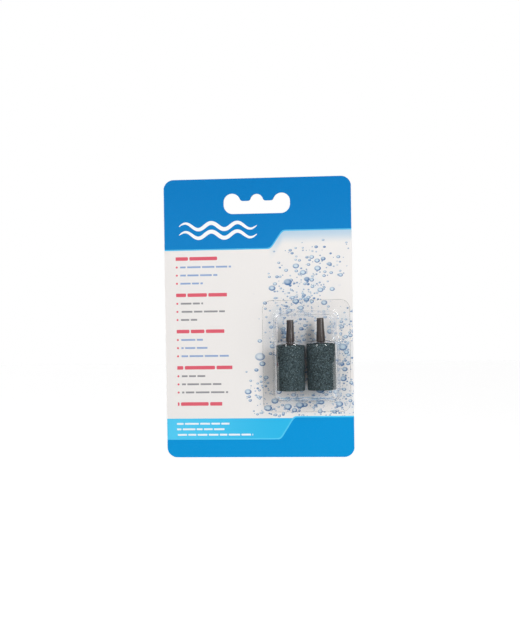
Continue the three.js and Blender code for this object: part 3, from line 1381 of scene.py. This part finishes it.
@dataclass(frozen=True)
class GritRelief:
    """How rough the bonded grit is: grains, pores and crumbled rims."""

    grain: float = 0.6
    grain_depth: float = 0.11
    pore: float = 1.2
    pore_level: float = 0.5
    pore_depth: float = 0.4
    rim_reach: float = 1.1
    rim_crumb: float = 1.1
    rim_level: float = 0.15
    rim_depth: float = 0.3
    smooth_mouth: float = 0.05


@dataclass
class AirStone:
    """One air stone: the grit cylinder, its stem and the bead of adhesive round the stem's foot."""

    side: Side
    lean: float = 0.0
    aside: float = 0.0
    lift: float = 0.0
    around: int = 240
    row: float = 0.2
    rim: float = 0.5
    bend_steps: int = 5
    chamber_mouth: float = 2.3
    chamber_floor: float = 2.0
    chamber_depth: float = 16.0
    relief: GritRelief = field(default_factory=GritRelief)
    stem: StemSizes = field(default_factory=StemSizes)
    bead: BeadSizes = field(default_factory=BeadSizes)

    def __post_init__(self) -> None:
        """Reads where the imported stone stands."""
        low, high = (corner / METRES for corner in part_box(self.node("stone")))
        self.axis = Vector(((low.x + high.x) / 2, (low.y + high.y) / 2, 0.0))
        self.radius = (high.x - low.x) / 2
        self.foot, self.top = low.z, high.z
        self.body = f"{self.side.value}_air_stone"

    def node(self, piece: str) -> str:
        """Name of one of this stone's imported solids."""
        return f"{self.side.value}_{piece}"

    def spun(self, outline: list[Point], around: int, row: float) -> bmesh.types.BMesh:
        """Spins an outline of radius and height about the stone's axis.

        Args:
            outline: Points of the outline; an end on the axis closes there.
            around: Steps of the full turn.
            row: Longest edge that the outline keeps.

        Returns:
            The closed shape.
        """
        shape = bmesh.new()
        points = [shape.verts.new((radius, 0.0, z)) for radius, z in outline]
        edges = [shape.edges.new(pair) for pair in zip(points, points[1:])]
        for edge in edges:
            cuts = math.ceil(edge.calc_length() / row) - 1
            if cuts > 0:
                bmesh.ops.subdivide_edges(shape, edges=[edge], cuts=cuts)
        whole = [*shape.verts, *shape.edges]
        bmesh.ops.spin(
            shape, geom=whole, cent=(0, 0, 0), axis=(0, 0, 1), angle=math.tau, steps=around, use_merge=True
        )
        bmesh.ops.remove_doubles(shape, verts=shape.verts, dist=1e-4)
        bmesh.ops.dissolve_degenerate(shape, edges=shape.edges, dist=1e-4)
        bmesh.ops.recalc_face_normals(shape, faces=shape.faces)
        bmesh.ops.translate(shape, vec=self.axis, verts=shape.verts)
        return shape

    def bend(self, radius: float, height: float, rounding: float, start: float, end: float) -> list[Point]:
        """Points of a round edge of an outline.

        Args:
            radius: Radius of its centre from the stone's axis.
            height: Height of its centre.
            rounding: Its own radius.
            start: Angle of its first point, in degrees.
            end: Angle of its last point, in degrees.

        Returns:
            The points.
        """
        steps = self.bend_steps
        turns = [math.radians(start + (end - start) * i / steps) for i in range(steps + 1)]
        return [(radius + rounding * math.cos(t), height + rounding * math.sin(t)) for t in turns]

    def lay(self, shape: bmesh.types.BMesh) -> None:
        """Leans a piece to the side about the stone's middle, as the stone lies in its crown.

        Args:
            shape: The piece's shape.
        """
        middle = Vector((self.axis.x, self.axis.y, (self.foot + self.top) / 2))
        turn = Matrix.Rotation(self.lean, 3, "Y")
        bmesh.ops.rotate(shape, cent=middle, matrix=turn, verts=shape.verts)
        bmesh.ops.translate(shape, vec=(self.aside, 0.0, self.lift), verts=shape.verts)

    def roughen(self, shape: bmesh.types.BMesh) -> None:
        """Sinks the surface between its grains, opens pores in it and crumbles its rims.

        Args:
            shape: The stone's shape.
        """
        rough = self.relief
        shift = Vector((17.0, 5.0, 0.0)) if self.side is Side.LEFT else Vector((3.0, 41.0, 9.0))
        shape.normal_update()
        for vertex in shape.verts:
            from_axis = math.hypot(vertex.co.x - self.axis.x, vertex.co.y - self.axis.y)
            if from_axis < self.chamber_mouth + rough.smooth_mouth:
                continue
            point = vertex.co + shift
            away = noise.voronoi(point / rough.grain)[0][0]
            pore = noise.noise(point / rough.pore)
            to_end = min(vertex.co.z - self.foot, self.top - vertex.co.z)
            to_rim = math.hypot(max(to_end, 0.0), self.radius - from_axis)
            rim = max(0.0, 1.0 - to_rim / rough.rim_reach)
            crumb = max(noise.noise(point / rough.rim_crumb) + rough.rim_level, 0.0)
            sunk = min(away, 1.0) * rough.grain_depth
            sunk += max(pore - rough.pore_level, 0.0) * rough.pore_depth
            sunk += rim * crumb * rough.rim_depth
            vertex.co -= vertex.normal * sunk

    def build_stone(self, finish: bpy.types.Material) -> bpy.types.Object:
        """Builds the grit cylinder with its blind air chamber.

        Args:
            finish: Its material.

        Returns:
            The stone.
        """
        shoulder = self.radius - self.rim
        outline = [(0.0, self.foot)]
        outline += self.bend(shoulder, self.foot + self.rim, self.rim, -90, 0)
        outline += self.bend(shoulder, self.top - self.rim, self.rim, 0, 90)
        outline += [(self.chamber_mouth, self.top)]
        shape = self.spun(outline, self.around, self.row)
        mouth = [edge for edge in shape.edges if edge.is_boundary]
        floor = bmesh.ops.extrude_edge_only(shape, edges=mouth)["geom"]
        sunk = [item for item in floor if isinstance(item, bmesh.types.BMVert)]
        share = self.chamber_floor / self.chamber_mouth
        centre = Matrix.Translation(-self.axis)
        bmesh.ops.scale(shape, vec=(share, share, 1.0), verts=sunk, space=centre)
        bmesh.ops.translate(shape, vec=(0.0, 0.0, -self.chamber_depth), verts=sunk)
        rim = [item for item in floor if isinstance(item, bmesh.types.BMEdge) and item.is_boundary]
        bmesh.ops.edgeloop_fill(shape, edges=rim)
        bmesh.ops.recalc_face_normals(shape, faces=shape.faces)
        self.roughen(shape)
        self.lay(shape)
        stone = to_object(f"{self.side.value}_grit_stone", shape, finish)
        seat(stone, self.body, "bonded_grit", self.node("stone"))
        return stone

    def build_stem(self, finish: bpy.types.Material) -> bpy.types.Object:
        """Builds the tube spigot: plug, collar, stepped taper, rounded tip and bore.

        Args:
            finish: Its material.

        Returns:
            The stem.
        """
        low, high = (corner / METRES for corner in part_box(self.node("stem")))
        size, top = self.stem, self.top
        step = high.z - size.step_drop
        below_centre = size.below_step - size.below_step_round
        above_centre = size.above_step + size.above_step_round
        tip_centre = size.tip - size.tip_round
        mouth_centre = size.bore + size.mouth_round
        outline = [
            (size.bore, low.z + size.bore_break),
            (size.bore + size.bore_break, low.z),
            (size.plug_tip, low.z),
            (size.plug, low.z + size.plug_nose),
            (size.plug_top, top),
            (size.collar_top, top),
        ]
        outline += self.bend(size.collar_top, top + size.collar_side, size.collar_round, 0, 90)
        outline += self.bend(size.foot + size.foot_round, top + size.foot_side, size.foot_round, 270, 180)
        outline += self.bend(below_centre, step - size.below_step_drop, size.below_step_round, 5, 60)
        outline += self.bend(above_centre, step + size.above_step_rise, size.above_step_round, 240, 180)
        outline += self.bend(tip_centre, high.z - size.tip_round, size.tip_round, 0, 90)
        outline += self.bend(mouth_centre, high.z - size.mouth_round, size.mouth_round, 90, 180)
        outline += [(size.bore, low.z + size.bore_break)]
        shape = self.spun(outline, size.around, size.row)
        self.lay(shape)
        stem = to_object(f"{self.side.value}_tube_stem", shape, finish)
        seat(stem, self.body, "stem_plastic", self.node("stem"))
        return stem

    def build_bead(self, finish: bpy.types.Material) -> bpy.types.Object:
        """Builds the bead of adhesive, uneven in width and height as it set.

        Args:
            finish: Its material.

        Returns:
            The bead.
        """
        low, high = (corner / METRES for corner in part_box(self.node("adhesive_bead")))
        size = self.bead
        width, height = (high.x - low.x) / 2 - size.inner, high.z - low.z
        outline = [(size.inner, low.z)]
        for i in range(size.steps + 1):
            turn = math.pi / 2 * i / size.steps
            rise = height * math.sin(turn) ** size.fullness
            outline.append((size.inner + width * math.cos(turn), low.z + rise))
        outline.append((size.inner, low.z))
        shape = self.spun(outline, size.around, size.row)
        for vertex in shape.verts:
            out = vertex.co - self.axis
            angle = math.atan2(out.y, out.x)
            where = Vector((math.cos(angle) * size.waves, math.sin(angle) * size.waves, self.foot))
            swell = noise.noise(where)
            from_axis = math.hypot(out.x, out.y)
            share = (from_axis - size.inner) / width
            drawn_in = share * (size.pull - size.hollow * min(swell, 0.0)) * width
            pull = 1.0 - drawn_in / max(from_axis, size.inner)
            lift = 1.0 - size.slump * max(swell, 0.0)
            vertex.co.x = self.axis.x + out.x * pull
            vertex.co.y = self.axis.y + out.y * pull
            vertex.co.z = low.z + (vertex.co.z - low.z) * lift
        self.lay(shape)
        bead = to_object(f"{self.side.value}_bead", shape, finish)
        seat(bead, self.body, "adhesive", self.node("adhesive_bead"))
        return bead


def outward(azimuth: float, elevation: float) -> Vector:
    """Direction from the pack to something round it.

    Args:
        azimuth: Turn to the right of the printed front, in degrees.
        elevation: Height over the level, in degrees.

    Returns:
        The direction, one long.
    """
    a, e = math.radians(azimuth), math.radians(elevation)
    return Vector((math.sin(a) * math.cos(e), -math.cos(a) * math.cos(e), math.sin(e)))


@dataclass(frozen=True)
class Lamp:
    """A soft rectangular lamp that faces the pack."""

    name: str
    azimuth: float
    elevation: float
    distance: float
    width: float
    height: float
    power: float

    def build(self, target: Vector) -> None:
        """Hangs the lamp and turns it to the target.

        Args:
            target: The point that it faces.
        """
        out = outward(self.azimuth, self.elevation)
        data = bpy.data.lights.new(self.name, "AREA")
        data.shape = "RECTANGLE"
        data.size, data.size_y = self.width, self.height
        data.energy = self.power
        lamp = bpy.data.objects.new(self.name, data)
        lamp.location = target + out * self.distance
        lamp.rotation_euler = out.to_track_quat("Z", "Y").to_euler()
        bpy.context.scene.collection.objects.link(lamp)


@dataclass(frozen=True)
class Sun:
    """A distant soft light."""

    name: str
    azimuth: float
    elevation: float
    strength: float
    width: float

    def build(self) -> None:
        """Sets the light and turns it to the pack."""
        data = bpy.data.lights.new(self.name, "SUN")
        data.energy = self.strength
        data.angle = math.radians(self.width)
        sun = bpy.data.objects.new(self.name, data)
        sun.rotation_euler = outward(self.azimuth, self.elevation).to_track_quat("Z", "Y").to_euler()
        bpy.context.scene.collection.objects.link(sun)


@dataclass
class Studio:
    """Camera, lamps, pale surroundings and a pale floor."""

    azimuth: float = 5.15
    elevation: float = 0.48
    roll: float = -0.85
    distance: float = 0.55
    lens: float = 58.23
    sensor: float = 36.0
    aim: tuple[float, float, float] = (0.85, -0.6, -66.98)
    floor_z: float = -0.39
    floor_half: float = 6.0
    suns: tuple[Sun, ...] = (
        Sun("back_light", 205.0, 32.0, 0.9, 30.0),
    )
    lamps: tuple[Lamp, ...] = (
        Lamp("right_box", 38.0, 20.0, 1.5, 0.26, 0.97, 13.8),
        Lamp("left_box", -29.0, 20.0, 1.5, 0.36, 0.97, 4.4),
    )
    ambient: float = 0.18
    front_mirror: float = 0.07
    mirror_from: float = 0.3
    mirror_full: float = 0.8
    floor_glow: float = 0.66
    floor_mirror_reach: float = 500.0

    def build_camera(self) -> None:
        """Sets the camera where the photograph was taken from."""
        turn = math.radians(self.roll)
        back = outward(self.azimuth, self.elevation)
        level = outward(self.azimuth + 90.0, 0.0)
        upright = back.cross(level)
        right = level * math.cos(turn) + upright * math.sin(turn)
        up = upright * math.cos(turn) - level * math.sin(turn)
        data = bpy.data.cameras.new("camera")
        data.lens = self.lens
        data.sensor_width = self.sensor
        data.clip_start, data.clip_end = 0.01, 50.0
        camera = bpy.data.objects.new("camera", data)
        place = Matrix.Translation(Vector(self.aim) * METRES + back * self.distance)
        camera.matrix_world = place @ Matrix((right, up, back)).transposed().to_4x4()
        bpy.context.scene.collection.objects.link(camera)
        bpy.context.scene.camera = camera

    def bent_rays(self, graph: ShaderGraph, rays: bpy.types.Node) -> Field:
        """Tells rays that came off or through something glossy.

        Args:
            graph: The graph of the surroundings or of the floor.
            rays: Its Light Path node.

        Returns:
            1 for such a ray and 0 for any other.
        """
        mirrored = Field(graph, rays.outputs["Is Glossy Ray"])
        return mirrored.most(Field(graph, rays.outputs["Is Transmission Ray"]))

    def build_surroundings(self) -> None:
        """Makes the surroundings white where they are seen, and dim where the film mirrors its front."""
        world = bpy.data.worlds.new("surroundings")
        world.use_nodes = True
        graph = ShaderGraph.of(world.node_tree)
        rays = graph.node("ShaderNodeLightPath")
        bent = self.bent_rays(graph, rays)
        where = graph.node("ShaderNodeTexCoord")
        _, depth, _ = graph.parts_of(where.outputs["Generated"])
        mirrored = graph.span(depth, self.mirror_from, self.mirror_full, self.front_mirror, 1.0)
        level = self.ambient + bent * (mirrored - self.ambient)
        light = graph.node("ShaderNodeBackground")
        graph.feed(light.inputs["Strength"], level.most(Field(graph, rays.outputs["Is Camera Ray"])))
        output = graph.node("ShaderNodeOutputWorld")
        graph.feed(output.inputs["Surface"], light.outputs[0])
        light.inputs["Color"].default_value = (1.0, 1.0, 1.0, 1.0)
        bpy.context.scene.world = world

    def build_floor(self) -> None:
        """Lays a plain pale floor well under the hanging card."""
        graph = ShaderGraph("pale_floor")
        point = graph.place()
        _, y, _ = graph.parts_of(point)
        rays = graph.node("ShaderNodeLightPath")
        bent = self.bent_rays(graph, rays)
        dim = bent * graph.span(y, 0.0, self.floor_mirror_reach, 1.0, 0.0)
        colour = graph.blend(graph.grain(point, 60.0) * 0.3, linear(247, 247, 247), linear(243, 243, 243))
        colour = graph.blend(dim * (1.0 - self.front_mirror), colour, linear(0, 0, 0))
        matt = graph.surface(Base_Color=colour, Roughness=0.9, Specular_IOR_Level=0.1)
        seen = Field(graph, rays.outputs["Is Camera Ray"]).most(bent) * (1.0 - dim)
        glow = graph.node("ShaderNodeEmission")
        graph.feed(glow.inputs["Strength"], seen * self.floor_glow)
        both = graph.node("ShaderNodeAddShader")
        graph.feed(both.inputs[0], matt)
        graph.feed(both.inputs[1], glow.outputs[0])
        shape = bmesh.new()
        bmesh.ops.create_grid(shape, x_segments=2, y_segments=2, size=self.floor_half / METRES)
        bmesh.ops.translate(shape, vec=(0.0, 0.0, self.floor_z / METRES), verts=shape.verts)
        to_object("floor", shape, graph.finish(both.outputs[0]))

    def build(self) -> None:
        """Sets up everything round the pack."""
        self.build_camera()
        self.build_surroundings()
        self.build_floor()
        for sun in self.suns:
            sun.build()
        target = (cad_low + cad_high) / 2
        for lamp in self.lamps:
            lamp.build(target)
        bpy.context.scene.view_settings.view_transform = "Standard"


def dress(node: str, finish: bpy.types.Material) -> None:
    """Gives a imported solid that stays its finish.

    Args:
        node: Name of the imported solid.
        finish: Its material.
    """
    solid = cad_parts[node]
    solid.data.materials.clear()
    solid.data.materials.append(finish)
    log.info("%s keeps its solid and gets %s", node, finish.name)


def main() -> None:
    """Builds the pack's looks piece by piece."""
    logging.basicConfig(level=logging.INFO, format="%(name)s: %(message)s")
    Studio().build()
    dress("backing_card", BoardPrint().material())
    FormedBlister().build()
    grit, plastic, glue = BondedGrit().material(), StemPlastic().material(), SetAdhesive().material()
    leaning = AirStone(Side.RIGHT, lean=math.radians(-0.95), aside=0.08, lift=0.035)
    for stone in (AirStone(Side.LEFT), leaning):
        stone.build_stone(grit)
        stone.build_stem(plastic)
        stone.build_bead(glue)


if __name__ == "__main__":
    main()
